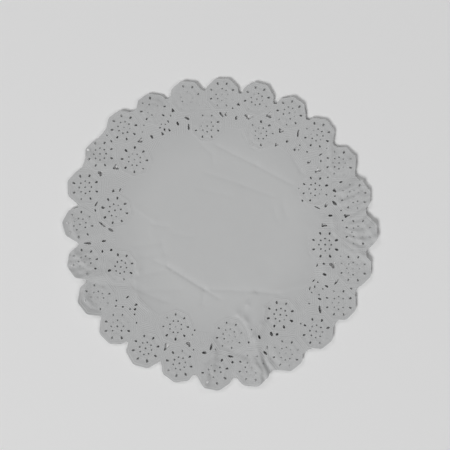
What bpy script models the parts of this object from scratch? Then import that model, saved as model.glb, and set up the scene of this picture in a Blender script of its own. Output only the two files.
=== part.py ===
"""A round paper lace doily, one die-cut and embossed sheet.

Its plain middle lies flat on the table, and its lace border curls up off it and is bent into
shallow waves and folds. The sheet's middle, on its underside, is the origin. Angles are in degrees,
clockwise from +Y as seen from above, and lengths are in metres.
"""
import math
from collections import namedtuple

import bmesh
import bpy

# Driving dimensions
SHEET = 0.001                  # thickness of the sheet
OUTER_RING = 0.1358            # centres of the rosettes along the edge
CORNER_CUT = 0.972             # how much of a rim's sharp corner is left by its rounding
ROSETTES = 24                  # rosettes along the edge
FLAT_MIDDLE = 0.068            # radius of the middle that lies on the table

PITCH = 360.0 / ROSETTES
HALF_PITCH = PITCH / 2.0
RIM_SIDES = 8
RIM_STEP = 360.0 / RIM_SIDES

# One row for each rosette along the edge, clockwise from +Y: how far its rim is turned (degrees),
# how far it is pushed outwards and clockwise, how far its rim is from its centre, the radius of the
# notch after it, and how high the sheet stands there.
Scallop = namedtuple("Scallop", "turn out along rim notch rise")
SCALLOPS = (
    Scallop(22, -0.0018, 0.0000, 0.0162, 0.1375, 0.0024),
    Scallop(22, -0.0012, 0.0000, 0.0162, 0.1370, 0.0030),
    Scallop(27, -0.0012, 0.0000, 0.0158, 0.1400, 0.0032),
    Scallop(31, -0.0013, 0.0000, 0.0166, 0.1415, 0.0028),
    Scallop(9, -0.0008, 0.0000, 0.0162, 0.1440, 0.0026),
    Scallop(41, 0.0000, 0.0009, 0.0160, 0.1445, 0.0034),
    Scallop(22, 0.0000, 0.0007, 0.0180, 0.1445, 0.0038),
    Scallop(8, 0.0002, 0.0007, 0.0170, 0.1450, 0.0032),
    Scallop(37, 0.0006, 0.0012, 0.0162, 0.1440, 0.0028),
    Scallop(27, 0.0006, 0.0005, 0.0160, 0.1440, 0.0032),
    Scallop(12, 0.0004, 0.0008, 0.0160, 0.1445, 0.0036),
    Scallop(40, 0.0012, 0.0004, 0.0170, 0.1425, 0.0030),
    Scallop(33, 0.0004, -0.0002, 0.0175, 0.1420, 0.0030),
    Scallop(42, -0.0013, -0.0012, 0.0170, 0.1400, 0.0024),
    Scallop(6, -0.0012, -0.0010, 0.0176, 0.1400, 0.0020),
    Scallop(22, -0.0005, -0.0019, 0.0167, 0.1420, 0.0024),
    Scallop(13, -0.0018, -0.0033, 0.0178, 0.1385, 0.0030),
    Scallop(44, -0.0025, -0.0021, 0.0160, 0.1385, 0.0032),
    Scallop(5, -0.0009, 0.0002, 0.0160, 0.1385, 0.0028),
    Scallop(3, 0.0010, 0.0017, 0.0170, 0.1455, 0.0022),
    Scallop(33, 0.0023, 0.0017, 0.0140, 0.1465, 0.0022),
    Scallop(30, 0.0014, 0.0012, 0.0166, 0.1435, 0.0028),
    Scallop(14, -0.0003, -0.0007, 0.0160, 0.1400, 0.0034),
    Scallop(40, -0.0015, 0.0000, 0.0163, 0.1400, 0.0030),
)

# The gaps cut through the border, each with the angle and radius of its middle, its half width and
# half length, and the tilt of its length off the outward way. The die went through at some places of
# the pattern and only marked the paper at others, so each gap has its own row.
Gap = namedtuple("Gap", "angle radius half_width half_length tilt")

# Three-cornered gaps between and under the rosettes. The tilt is where the first corner points.
STARS = (
    Gap(13.5, 0.1152, 0.0038, 0.0022, 175),
    Gap(22.6, 0.1235, 0.0024, 0.0030, 0),
    Gap(31.0, 0.1150, 0.0023, 0.0019, 180),
    Gap(33.1, 0.1010, 0.0015, 0.0017, 180),
    Gap(58.1, 0.1138, 0.0021, 0.0031, 175),
    Gap(70.4, 0.1197, 0.0021, 0.0015, 185),
    Gap(83.0, 0.1255, 0.0016, 0.0026, -10),
    Gap(87.0, 0.1028, 0.0015, 0.0026, 10),
    Gap(106.5, 0.1162, 0.0027, 0.0027, 178),
    Gap(192.8, 0.1145, 0.0025, 0.0022, 85),
    Gap(202.1, 0.1240, 0.0020, 0.0036, 5),
    Gap(262.0, 0.1275, 0.0015, 0.0033, 2),
    Gap(293.6, 0.1282, 0.0025, 0.0023, -5),
    Gap(299.3, 0.1177, 0.0025, 0.0026, 182),
    Gap(316.9, 0.1165, 0.0026, 0.0018, 175),
    Gap(343.0, 0.1143, 0.0028, 0.0018, 188),
)
STAR_CORNERS = 3
STAR_DRAWN_IN = 0.30           # how much its sides are drawn in between the corners
STAR_POINTS = 12

# The ring of ovals, which are all alike but for their places, given by angle and radius
OVAL_PLACES = ((7.6, 0.1117), (36.7, 0.1105), (52.2, 0.1107), (82.1, 0.1100), (112.2, 0.1120),
               (158.0, 0.1117), (262.2, 0.1123), (322.5, 0.1125), (337.3, 0.1120))
OVAL_HALF_WIDTH = 0.00115
OVAL_HALF_LENGTH = 0.0021
OVALS = [Gap(angle, radius, OVAL_HALF_WIDTH, OVAL_HALF_LENGTH, 0) for angle, radius in OVAL_PLACES]

# Gaps that the die has only slit, or has cut long and narrow
SLITS = (
    Gap(-0.1, 0.1138, 0.0012, 0.0030, -40),
    Gap(2.5, 0.1145, 0.0014, 0.0028, 38),
    Gap(38.4, 0.1230, 0.0009, 0.0039, -33),
    Gap(76.3, 0.1080, 0.0013, 0.0029, -47),
    Gap(76.3, 0.1160, 0.0014, 0.0030, 58),
    Gap(113.1, 0.1253, 0.0009, 0.0034, 102),
    Gap(127.3, 0.1253, 0.0013, 0.0037, 45),
    Gap(152.0, 0.1138, 0.0014, 0.0022, 8),
    Gap(158.0, 0.1277, 0.0011, 0.0025, -27),
    Gap(173.1, 0.1235, 0.0010, 0.0029, 108),
    Gap(184.9, 0.1202, 0.0013, 0.0022, 82),
    Gap(181.9, 0.1141, 0.0011, 0.0035, 14),
    Gap(267.6, 0.1050, 0.0012, 0.0029, 32),
    Gap(270.4, 0.1135, 0.0009, 0.0042, 36),
    Gap(279.8, 0.1220, 0.0008, 0.0029, 109),
    Gap(342.2, 0.1053, 0.0011, 0.0031, 15),
)
ROUND_POINTS = 10

# The main folds of the border, each a ridge or, where its height is negative, a trough: the angle and
# radius where it starts and ends, how wide it is to each side, and how high.
Fold = namedtuple("Fold", "angle_a radius_a angle_b radius_b width height")
FOLDS = (
    Fold(64, 0.104, 62, 0.150, 0.0060, 0.0016),
    Fold(76, 0.112, 69, 0.152, 0.0055, 0.0022),
    Fold(83, 0.106, 110, 0.110, 0.0065, 0.0014),
    Fold(97, 0.122, 100, 0.158, 0.0050, 0.0016),
    Fold(149, 0.080, 164, 0.152, 0.0060, 0.0022),
    Fold(160, 0.118, 156, 0.152, 0.0050, -0.0014),
    Fold(181, 0.112, 184, 0.158, 0.0055, 0.0024),
    Fold(172, 0.126, 174, 0.156, 0.0050, -0.0012),
    Fold(243, 0.100, 250, 0.154, 0.0060, 0.0016),
    Fold(262, 0.112, 260, 0.152, 0.0060, -0.0014),
    Fold(300, 0.112, 297, 0.150, 0.0060, 0.0012),
)

# The edge rosettes whose outer part is bent: which one, how far outside its centre the bend lies,
# which way the bend faces off the radius, and by how many degrees the part beyond it turns up.
Bend = namedtuple("Bend", "rosette offset facing degrees")
BENDS = (
    Bend(22, -0.0010, 28, -9.0),
    Bend(16, 0.0050, -18, 14.0),
    Bend(6, 0.0060, 6, 8.0),
    Bend(10, 0.0040, -10, -8.0),
    Bend(18, 0.0070, 0, 8.0),
)
BEND_SOFTNESS = 0.0030
BEND_HALF_WIDTH = 0.0115       # the bend fades out between this and twice this to each side

# How the sheet climbs off the table, and how its folds fade in
CLIMB_POWER = 1.35             # over 1, so that it leaves the table level
FOLD_FADE = 2.5                # folds have their full height from this part of the climb outwards
FOLD_START = 0.35              # share of a fold's height at the end nearest the middle

# How the outline is drawn
RIM_SAMPLE = RIM_STEP / 4.0    # degrees between two points of a rosette's rim
RIM_REACH = 100.0              # the rim shows up to this far to each side of the outward way
NOTCH_LIP = 0.0012             # the rim is drawn down to this much above the notch's floor
NOTCH_HALF_ANGLE = 0.4         # and up to this far from the notch's middle

# The plain web that the sheet is cut from: its rings, and the spokes that divide them
WEB_RINGS = (FLAT_MIDDLE, 0.079, 0.090, 0.099, 0.108, 0.117, 0.126, 0.134, 0.142, 0.150, 0.164)
WEB_SPOKES = 120
CUTTER_HALF_HEIGHT = 0.004
WELD = 0.000001

PAPER_COLOUR = (0.60, 0.605, 0.605, 1.0)
PAPER_ROUGHNESS = 0.85


def clear_scene():
    """Remove every object, so that the doily is alone."""
    for thing in list(bpy.data.objects):
        bpy.data.objects.remove(thing, do_unlink=True)


def new_collection(name):
    """Make a collection and link it to the scene."""
    collection = bpy.data.collections.new(name)
    bpy.context.scene.collection.children.link(collection)
    return collection


def smooth_step(value):
    """Ease a value between 0 and 1, level at both ends."""
    value = min(max(value, 0.0), 1.0)
    return value * value * (3.0 - 2.0 * value)


def around_edge(column, angle):
    """A scallop column at any angle, eased from one rosette to the next."""
    place = (angle % 360.0) / PITCH
    first = int(place) % ROSETTES
    blend = smooth_step(place - int(place))
    before = getattr(SCALLOPS[first], column)
    after = getattr(SCALLOPS[(first + 1) % ROSETTES], column)
    return before + (after - before) * blend


def on_sheet(angle, radius):
    """The flat place of a point of the regular pattern, with the sheet's own unevenness."""
    share = smooth_step((radius - FLAT_MIDDLE) / (OUTER_RING - FLAT_MIDDLE))
    turned = math.radians(angle)
    out = radius + share * around_edge("out", angle)
    along = share * around_edge("along", angle)
    x = out * math.sin(turned) + along * math.cos(turned)
    y = out * math.cos(turned) - along * math.sin(turned)
    return x, y


def polar(across, outwards, angle, radius):
    """A point given across and outwards from a middle at an angle and radius, as angle and radius."""
    distance = radius + outwards
    return angle + math.degrees(math.atan2(across, distance)), math.hypot(across, distance)


def rim_reach(direction, scallop):
    """Distance from a rosette's centre to its eight-sided rim in a direction."""
    off_middle = math.radians((direction - scallop.turn) % RIM_STEP - RIM_STEP / 2.0)
    corner = scallop.rim / math.cos(math.radians(RIM_STEP / 2.0))
    return min(scallop.rim / math.cos(off_middle), corner * CORNER_CUT)


def scallop_points(place):
    """The outline of one scallop and the notch after it."""
    scallop = SCALLOPS[place]
    angle = PITCH * place
    floor_before = SCALLOPS[place - 1].notch
    points = []
    samples = int(180.0 / RIM_SAMPLE)
    for sample in range(-samples, samples + 1):
        direction = scallop.turn + sample * RIM_SAMPLE
        if abs(direction) > RIM_REACH:
            continue
        reach = rim_reach(direction, scallop)
        across = reach * math.sin(math.radians(direction))
        outwards = reach * math.cos(math.radians(direction))
        point = polar(across, outwards, angle, OUTER_RING)
        floor = floor_before if direction < 0.0 else scallop.notch
        if point[1] > floor + NOTCH_LIP and abs(point[0] - angle) < HALF_PITCH - NOTCH_HALF_ANGLE:
            points.append(point)
    points.append((angle + HALF_PITCH, scallop.notch))
    return [on_sheet(*point) for point in points]


def gap_points(gap, count, drawn_in):
    """The outline of one gap, an oval that may be drawn in between three corners."""
    tilt = math.radians(gap.tilt)
    points = []
    for step in range(count):
        turned = 2.0 * math.pi * step / count
        pull = 1.0 + drawn_in * math.cos(STAR_CORNERS * turned)
        ahead = gap.half_length * pull * math.cos(turned)
        aside = gap.half_width * pull * math.sin(turned)
        across = ahead * math.sin(tilt) + aside * math.cos(tilt)
        outwards = ahead * math.cos(tilt) - aside * math.sin(tilt)
        angle, radius = polar(across, outwards, gap.angle, gap.radius)
        points.append((radius * math.sin(math.radians(angle)), radius * math.cos(math.radians(angle))))
    return points


def border_gaps():
    """The outlines of all the gaps that are cut through the border."""
    stars = [gap_points(gap, STAR_POINTS, STAR_DRAWN_IN) for gap in STARS]
    return stars + [gap_points(gap, ROUND_POINTS, 0.0) for gap in OVALS + list(SLITS)]


def fold_height(fold, x, y):
    """Height that one fold gives the sheet at a place, growing from its inner to its outer end."""
    ax = fold.radius_a * math.sin(math.radians(fold.angle_a))
    ay = fold.radius_a * math.cos(math.radians(fold.angle_a))
    bx = fold.radius_b * math.sin(math.radians(fold.angle_b))
    by = fold.radius_b * math.cos(math.radians(fold.angle_b))
    length = math.hypot(bx - ax, by - ay)
    along = ((x - ax) * (bx - ax) + (y - ay) * (by - ay)) / length
    aside = ((x - ax) * (by - ay) - (y - ay) * (bx - ax)) / length
    nearest = min(max(along, 0.0), length)
    distance = math.hypot(along - nearest, aside)
    ramp = FOLD_START + (1.0 - FOLD_START) * smooth_step(nearest / length)
    return fold.height * ramp * math.exp(-(distance / fold.width) ** 2)


def sheet_height(x, y):
    """Height of the sheet's underside over the table."""
    radius = math.hypot(x, y)
    angle = math.degrees(math.atan2(x, y))
    climb = max(radius - FLAT_MIDDLE, 0.0) / (OUTER_RING - FLAT_MIDDLE)
    height = around_edge("rise", angle) * climb ** CLIMB_POWER
    folded = sum(fold_height(fold, x, y) for fold in FOLDS)
    return max(height + folded * smooth_step(FOLD_FADE * climb), 0.0)


def bend_rosette(bend, x, y, z):
    """Turn the part of a rosette beyond its bend up or down."""
    angle = math.radians(PITCH * bend.rosette)
    facing = math.radians(PITCH * bend.rosette + bend.facing)
    centre_x = OUTER_RING * math.sin(angle)
    centre_y = OUTER_RING * math.cos(angle)
    beyond = (x - centre_x) * math.sin(facing) + (y - centre_y) * math.cos(facing) - bend.offset
    aside = (x - centre_x) * math.cos(facing) - (y - centre_y) * math.sin(facing)
    if beyond <= 0.0:
        return x, y, z
    eased = math.sqrt(beyond ** 2 + BEND_SOFTNESS ** 2) - BEND_SOFTNESS
    eased *= 1.0 - smooth_step(abs(aside) / BEND_HALF_WIDTH - 1.0)
    turned = math.radians(bend.degrees)
    drawn_back = eased * (1.0 - math.cos(turned))
    return (x - drawn_back * math.sin(facing), y - drawn_back * math.cos(facing),
            z + eased * math.sin(turned))


def paper_material():
    """Plain white paper."""
    material = bpy.data.materials.new("white_paper")
    material.use_nodes = True
    shader = material.node_tree.nodes["Principled BSDF"]
    shader.inputs["Base Color"].default_value = PAPER_COLOUR
    shader.inputs["Roughness"].default_value = PAPER_ROUGHNESS
    shader.inputs["Metallic"].default_value = 0.0
    return material


def lace_outline(collection):
    """The flat die shape, scalloped outside and with its gaps, as a thick block to cut with."""
    curve = bpy.data.curves.new("lace_die", "CURVE")
    curve.dimensions = "2D"
    curve.fill_mode = "BOTH"
    curve.extrude = CUTTER_HALF_HEIGHT
    edge = [point for place in range(ROSETTES) for point in scallop_points(place)]
    for outline in [edge] + border_gaps():
        spline = curve.splines.new("POLY")
        spline.points.add(len(outline) - 1)
        for point, (x, y) in zip(spline.points, outline):
            point.co = (x, y, 0.0, 1.0)
        spline.use_cyclic_u = True
    drawn = bpy.data.objects.new("lace_die_curve", curve)
    collection.objects.link(drawn)
    evaluated = drawn.evaluated_get(bpy.context.evaluated_depsgraph_get())
    mesh = bpy.data.meshes.new_from_object(evaluated)
    shape = bmesh.new()
    shape.from_mesh(mesh)
    bmesh.ops.remove_doubles(shape, verts=shape.verts, dist=WELD)
    shape.to_mesh(mesh)
    shape.free()
    die = bpy.data.objects.new("lace_die", mesh)
    die.matrix_world = drawn.matrix_world
    collection.objects.link(die)
    bpy.data.objects.remove(drawn, do_unlink=True)
    die.hide_render = True
    die.display_type = "WIRE"
    return die


def plain_web(collection):
    """A round flat sheet with a plain middle and a border of rings and spokes, ready to be bent."""
    shape = bmesh.new()
    run = [(radius, 0.0) for radius in WEB_RINGS] + [(radius, SHEET) for radius in reversed(WEB_RINGS)]
    verts = [shape.verts.new((radius, 0.0, height)) for radius, height in run]
    edges = [shape.edges.new(pair) for pair in zip(verts, verts[1:])]
    bmesh.ops.spin(shape, geom=verts + edges, cent=(0.0, 0.0, 0.0), axis=(0.0, 0.0, 1.0),
                   angle=2.0 * math.pi, steps=WEB_SPOKES, use_merge=True)
    bmesh.ops.remove_doubles(shape, verts=shape.verts, dist=WELD)
    rims = [edge for edge in shape.edges if edge.is_boundary]
    bmesh.ops.edgeloop_fill(shape, edges=rims)
    bmesh.ops.recalc_face_normals(shape, faces=shape.faces)
    mesh = bpy.data.meshes.new("doily")
    shape.to_mesh(mesh)
    shape.free()
    web = bpy.data.objects.new("doily", mesh)
    collection.objects.link(web)
    return web


def cut_lace(web, die):
    """Keep only the part of the web inside the die shape."""
    cut = web.modifiers.new("die_cut", "BOOLEAN")
    cut.operation = "INTERSECT"
    cut.object = die
    evaluated = web.evaluated_get(bpy.context.evaluated_depsgraph_get())
    mesh = bpy.data.meshes.new_from_object(evaluated)
    web.modifiers.clear()
    web.data = mesh


def bend_sheet(web):
    """Raise the border, press its folds in and bend the loose rosettes."""
    shape = bmesh.new()
    shape.from_mesh(web.data)
    bmesh.ops.triangulate(shape, faces=shape.faces)
    for vert in shape.verts:
        x, y, z = vert.co
        z += sheet_height(x, y)
        for bend in BENDS:
            x, y, z = bend_rosette(bend, x, y, z)
        vert.co = (x, y, z)
    shape.to_mesh(web.data)
    shape.free()


def build_doily():
    """Cut, bend and colour the doily."""
    clear_scene()
    doily_parts = new_collection("paper_lace_doily")
    cutters = new_collection("cutters")
    die = lace_outline(cutters)
    die.location.z = SHEET / 2.0
    bpy.context.view_layer.update()
    web = plain_web(doily_parts)
    cut_lace(web, die)
    bend_sheet(web)
    web.data.materials.clear()
    web.data.materials.append(paper_material())
    print("doily:", len(web.data.vertices), "points,", len(web.data.polygons), "faces")


build_doily()
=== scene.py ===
# %% [markdown]
# # A round paper lace doily
#
# A paper doily is one sheet. A press closes on it once: one half of the tool punches the small holes
# and the scalloped edge, and the other half presses a net of raised lines into the lace border, while
# the middle stays plain. This lesson follows the same order in Blender: draw the cuts, cut them out
# of a flat sheet, press the pattern in, bend the sheet as it lies on the table, and colour it.
#
# The plain solid model of the doily comes first. It is the frame: the finished sheet has to lie where
# that solid lies.

# %% Open the frame
import math
import random
from collections import namedtuple

import bmesh
import bpy
from mathutils import Matrix, Vector, kdtree, noise


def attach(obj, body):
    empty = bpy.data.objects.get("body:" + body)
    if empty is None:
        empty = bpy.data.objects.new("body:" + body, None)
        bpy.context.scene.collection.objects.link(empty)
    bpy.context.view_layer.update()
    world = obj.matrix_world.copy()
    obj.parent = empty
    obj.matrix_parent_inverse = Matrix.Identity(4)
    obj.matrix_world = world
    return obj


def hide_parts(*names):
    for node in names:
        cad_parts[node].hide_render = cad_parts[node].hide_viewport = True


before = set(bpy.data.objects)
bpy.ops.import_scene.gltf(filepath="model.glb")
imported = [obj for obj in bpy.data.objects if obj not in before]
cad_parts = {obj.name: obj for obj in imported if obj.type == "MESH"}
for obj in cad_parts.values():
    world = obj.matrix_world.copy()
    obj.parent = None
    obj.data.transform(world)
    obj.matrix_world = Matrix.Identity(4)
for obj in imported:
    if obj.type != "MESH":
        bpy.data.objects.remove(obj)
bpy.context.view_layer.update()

# %% [markdown]
# ## The sizes that the tool was made to
#
# Everything on the doily is placed by an angle, clockwise from +Y as seen from above, and a radius
# from the middle. Two rings of eight-sided flowers, called rosettes, carry the pattern: 24 along the
# edge, whose outer sides make the scallops, and 10 further in. Cheap paper never lies true, so every
# edge rosette has a row of its own: how far it is turned, pushed outwards and pushed along, how far
# its rim is from its centre, how far out the notch after it lies, and how high the paper stands there.

# %% Sizes of the sheet and its rosettes
PITCH = 15.0
HALF_PITCH = PITCH / 2.0
RIM_SIDES = 8
RIM_STEP = 360.0 / RIM_SIDES
OUTER_RING = 0.1358
INNER_RING = 0.1031
FLAT_MIDDLE = 0.068
CORNER_CUT = 0.972

Scallop = namedtuple("Scallop", "turn out along rim notch rise")
SCALLOPS = (
    Scallop(22, -0.0018, 0.0000, 0.0162, 0.1375, 0.0024),
    Scallop(22, -0.0012, 0.0000, 0.0162, 0.1370, 0.0030),
    Scallop(27, -0.0012, 0.0000, 0.0158, 0.1400, 0.0032),
    Scallop(31, -0.0013, 0.0000, 0.0166, 0.1415, 0.0028),
    Scallop(9, -0.0008, 0.0000, 0.0162, 0.1440, 0.0026),
    Scallop(41, 0.0000, 0.0009, 0.0160, 0.1445, 0.0034),
    Scallop(22, 0.0000, 0.0007, 0.0180, 0.1445, 0.0038),
    Scallop(8, 0.0002, 0.0007, 0.0170, 0.1450, 0.0032),
    Scallop(37, 0.0006, 0.0012, 0.0162, 0.1440, 0.0028),
    Scallop(27, 0.0006, 0.0005, 0.0160, 0.1440, 0.0032),
    Scallop(12, 0.0004, 0.0008, 0.0160, 0.1445, 0.0036),
    Scallop(40, 0.0012, 0.0004, 0.0170, 0.1425, 0.0030),
    Scallop(33, 0.0004, -0.0002, 0.0175, 0.1420, 0.0030),
    Scallop(42, -0.0013, -0.0012, 0.0170, 0.1400, 0.0024),
    Scallop(6, -0.0012, -0.0010, 0.0176, 0.1400, 0.0020),
    Scallop(22, -0.0005, -0.0019, 0.0167, 0.1420, 0.0024),
    Scallop(13, -0.0018, -0.0033, 0.0178, 0.1385, 0.0030),
    Scallop(44, -0.0025, -0.0021, 0.0160, 0.1385, 0.0032),
    Scallop(5, -0.0009, 0.0002, 0.0160, 0.1385, 0.0028),
    Scallop(3, 0.0010, 0.0017, 0.0170, 0.1455, 0.0022),
    Scallop(33, 0.0023, 0.0017, 0.0140, 0.1465, 0.0022),
    Scallop(30, 0.0014, 0.0012, 0.0166, 0.1435, 0.0028),
    Scallop(14, -0.0003, -0.0007, 0.0160, 0.1400, 0.0034),
    Scallop(40, -0.0015, 0.0000, 0.0163, 0.1400, 0.0030),
)

InnerRosette = namedtuple("InnerRosette", "place turn out along")
INNER_ROSETTES = (
    InnerRosette(1, 22, 0.0012, 0.0000),
    InnerRosette(4, 3, -0.0003, -0.0020),
    InnerRosette(6, 14, 0.0018, -0.0006),
    InnerRosette(9, 19, -0.0007, 0.0006),
    InnerRosette(11, 39, 0.0001, 0.0004),
    InnerRosette(13, 23, 0.0010, -0.0005),
    InnerRosette(16, 6, -0.0002, 0.0002),
    InnerRosette(18, 2, -0.0003, 0.0011),
    InnerRosette(20, 6, 0.0031, 0.0000),
    InnerRosette(23, 29, 0.0005, -0.0005),
)
print(len(SCALLOPS), "rosettes along the edge and", len(INNER_ROSETTES), "further in")

# %% [markdown]
# ## From the regular pattern to this sheet
#
# The pattern is easy to write down as if it were perfect. One function then moves any point of it to
# where this sheet really has it, by easing between the rows of the two nearest scallops. Because
# the holes, the rim and the embossing all go through the same function, they stay together.

# %% Place a point on the sheet
def smooth_step(value):
    value = min(max(value, 0.0), 1.0)
    return value * value * (3.0 - 2.0 * value)


def around_edge(column, angle):
    place = (angle % 360.0) / PITCH
    first = int(place) % len(SCALLOPS)
    blend = smooth_step(place - int(place))
    before = getattr(SCALLOPS[first], column)
    after = getattr(SCALLOPS[(first + 1) % len(SCALLOPS)], column)
    return before + (after - before) * blend


def on_sheet(angle, radius):
    share = smooth_step((radius - FLAT_MIDDLE) / (OUTER_RING - FLAT_MIDDLE))
    turned = math.radians(angle)
    out = radius + share * around_edge("out", angle)
    along = share * around_edge("along", angle)
    x = out * math.sin(turned) + along * math.cos(turned)
    y = out * math.cos(turned) - along * math.sin(turned)
    return x, y


def polar(across, outwards, angle, radius):
    distance = radius + outwards
    return angle + math.degrees(math.atan2(across, distance)), math.hypot(across, distance)


def flat_place(angle, radius):
    return radius * math.sin(math.radians(angle)), radius * math.cos(math.radians(angle))


Rosette = namedtuple("Rosette", "angle radius turn x y")
rosettes = []
for place, scallop in enumerate(SCALLOPS):
    angle = PITCH * place
    rosettes.append(Rosette(angle, OUTER_RING, scallop.turn, *on_sheet(angle, OUTER_RING)))
for row in INNER_ROSETTES:
    angle, radius = polar(row.along, row.out, PITCH * row.place + HALF_PITCH, INNER_RING)
    rosettes.append(Rosette(angle, radius, row.turn, *on_sheet(angle, radius)))
print("first rosette at", [round(1000 * value, 1) for value in rosettes[0][3:]], "mm")

# %% [markdown]
# ## The scalloped edge
#
# Each scallop is the outer part of an eight-sided rim with slightly rounded corners, down to the
# notch that it shares with the next one. A formula gives the distance to the rim in any direction, so
# the edge needs no list of points. A point every few degrees keeps the corners round up close.

# %% Draw the edge
RIM_SAMPLE = 3.75
RIM_REACH = 100.0
NOTCH_LIP = 0.0006
NOTCH_HALF_ANGLE = 0.25


def rim_reach(direction, scallop):
    off_middle = math.radians((direction - scallop.turn) % RIM_STEP - RIM_STEP / 2.0)
    corner = scallop.rim / math.cos(math.radians(RIM_STEP / 2.0))
    return min(scallop.rim / math.cos(off_middle), corner * CORNER_CUT)


def scallop_points(place):
    scallop = SCALLOPS[place]
    angle = PITCH * place
    points = []
    samples = int(180.0 / RIM_SAMPLE)
    for sample in range(-samples, samples + 1):
        direction = scallop.turn + sample * RIM_SAMPLE
        if abs(direction) > RIM_REACH:
            continue
        reach = rim_reach(direction, scallop)
        across = reach * math.sin(math.radians(direction))
        outwards = reach * math.cos(math.radians(direction))
        point = polar(across, outwards, angle, OUTER_RING)
        floor = SCALLOPS[place - 1].notch if direction < 0.0 else scallop.notch
        if point[1] > floor + NOTCH_LIP and abs(point[0] - angle) < HALF_PITCH - NOTCH_HALF_ANGLE:
            points.append(point)
    points.append((angle + HALF_PITCH, scallop.notch))
    return [on_sheet(*point) for point in points]


edge_outline = [point for place in range(len(SCALLOPS)) for point in scallop_points(place)]
print("edge:", len(edge_outline), "points")

# %% [markdown]
# ## The holes of a rosette
#
# Every rosette is punched the same way: one round dot in the middle, a ring of eight dots, and
# outside them eight petals shaped like drops, with the fat end out. A drop is an ellipse that grows
# wider towards one end. The tool bites deeper on a rosette's outer side, so the petals there come out
# largest, and some rosettes are cut cleaner than others. The punches are worn and the paper tears a
# little, so each hole is made up to a tenth larger or smaller, from a random series that always
# starts the same.

# %% Draw the dots and petals
PETAL_RING = 0.0118
DOT_RING = 0.0059
PETAL_HALF_LENGTH = 0.00145
PETAL_HALF_WIDTH = 0.00085
INNER_PETAL = 0.88
OUTER_PETAL = 1.12
PETAL_TAPER = 0.38
DOT_RADIUS = 0.00070
PETAL_POINTS = 12
DOT_POINTS = 9
STAR_CORNERS = 3
WEAR = 0.10
worn = random.Random(24)

# Where the worn tool went only half through the paper or left a mark. The petals and dots are
# counted from 0 round each rosette. Rosettes 0 to 23 run along the edge, the inner ones follow.
WeakRow = namedtuple("WeakRow", "rosette missed_petals weak_petals missed_dots weak_dots")
WEAK_TABLE = (
    WeakRow(0, "2", "4", "6", "123"),
    WeakRow(1, "34", "2", "", "16"),
    WeakRow(2, "", "34", "3", "01"),
    WeakRow(3, "", "5", "", "145"),
    WeakRow(4, "2", "036", "", "014"),
    WeakRow(5, "", "145", "27", "56"),
    WeakRow(6, "", "027", "17", "06"),
    WeakRow(7, "", "47", "", "0267"),
    WeakRow(8, "", "4", "6", "02"),
    WeakRow(9, "7", "", "", ""),
    WeakRow(10, "", "036", "", "25"),
    WeakRow(11, "6", "345", "357", "4"),
    WeakRow(12, "23", "", "36", "02"),
    WeakRow(13, "", "03", "", ""),
    WeakRow(15, "4", "23", "36", "1"),
    WeakRow(16, "3", "57", "567", ""),
    WeakRow(17, "6", "0", "45", "6"),
    WeakRow(18, "", "137", "5", "0"),
    WeakRow(19, "", "6", "", ""),
    WeakRow(21, "", "", "", "2"),
    WeakRow(22, "14", "7", "0236", "15"),
    WeakRow(23, "23456", "", "036", "1257"),
    WeakRow(24, "245", "16", "", "46"),
    WeakRow(25, "2", "1", "", "01"),
    WeakRow(27, "", "", "", "7"),
    WeakRow(28, "", "0567", "", "567"),
    WeakRow(29, "", "12", "", ""),
    WeakRow(30, "17", "6", "", ""),
    WeakRow(31, "", "", "4", "25"),
    WeakRow(32, "", "4", "", "0"),
    WeakRow(33, "6", "07", "67", "5"),
)
WEAK_ROWS = {row.rosette: row for row in WEAK_TABLE}
MISSED_MIDDLES = (6, 22, 23)
WEAK_MIDDLES = (0, 5, 7, 10, 11, 16, 17, 21, 24, 28, 29, 32)
WEAK_SIZE = 0.62
CLEAN_ROSETTES = (9, 12, 13, 14, 15, 19, 20, 21, 26, 27, 30, 31)
WORN_ROSETTES = (0, 5, 6, 7, 8, 10, 11, 16, 23, 28)
CLEAN_SIZE = 1.10
WORN_SIZE = 0.88


def loop_points(place_point, across, outwards, half_width, half_length, tilt, count, taper, drawn_in):
    """A closed outline about a middle, drop-shaped by taper or three-cornered by drawn_in."""
    turned_tilt = math.radians(tilt)
    points = []
    for step in range(count):
        turned = 2.0 * math.pi * step / count
        pull = 1.0 + drawn_in * math.cos(STAR_CORNERS * turned)
        ahead = half_length * pull * math.cos(turned)
        aside = half_width * pull * math.sin(turned) * (1.0 + taper * math.cos(turned))
        point_across = across + ahead * math.sin(turned_tilt) + aside * math.cos(turned_tilt)
        point_outwards = outwards + ahead * math.cos(turned_tilt) - aside * math.sin(turned_tilt)
        points.append(place_point(point_across, point_outwards))
    return points


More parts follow.
